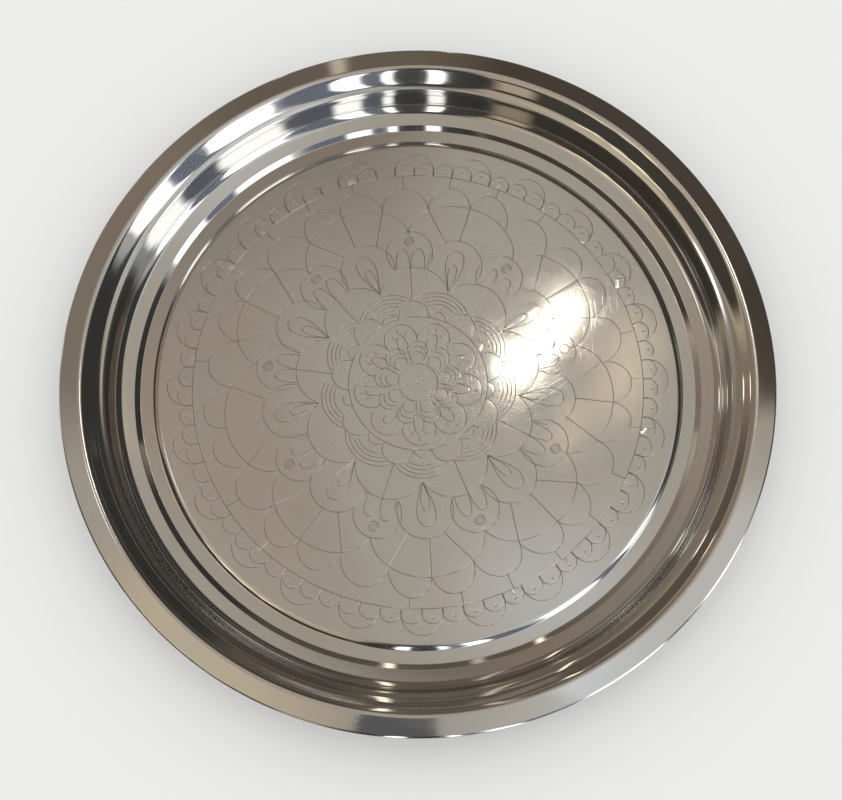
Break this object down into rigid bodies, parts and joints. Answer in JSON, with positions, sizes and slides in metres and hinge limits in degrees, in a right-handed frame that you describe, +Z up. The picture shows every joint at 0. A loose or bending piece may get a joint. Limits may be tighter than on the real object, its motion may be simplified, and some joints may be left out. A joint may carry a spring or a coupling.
{
  "type": "round tray",
  "caption": "Shallow round steel serving tray: raised centre panel with an engraved rosette, foot ring, stepped cove wall and a flange rolled under round a wire.",
  "frame": {"origin": "centre of the tray on the surface it stands on, in the plane of the foot ring's underside", "axes": "+Z up, out of the tray's open side and along its axis of symmetry; +X and +Y lie in the plane it stands on, with -Y towards the viewer of the picture"},
  "size_m": [0.4, 0.4, 0.028],
  "materials": {
    "polished_steel": "mirror polished, with an engraved line rosette and fine scratches from use",
    "wire_steel": "plain drawn wire"
  },
  "bodies": {
    "root": {"tray_pan": "polished_steel", "rim_wire": "wire_steel"}
  },
  "joints": []
}
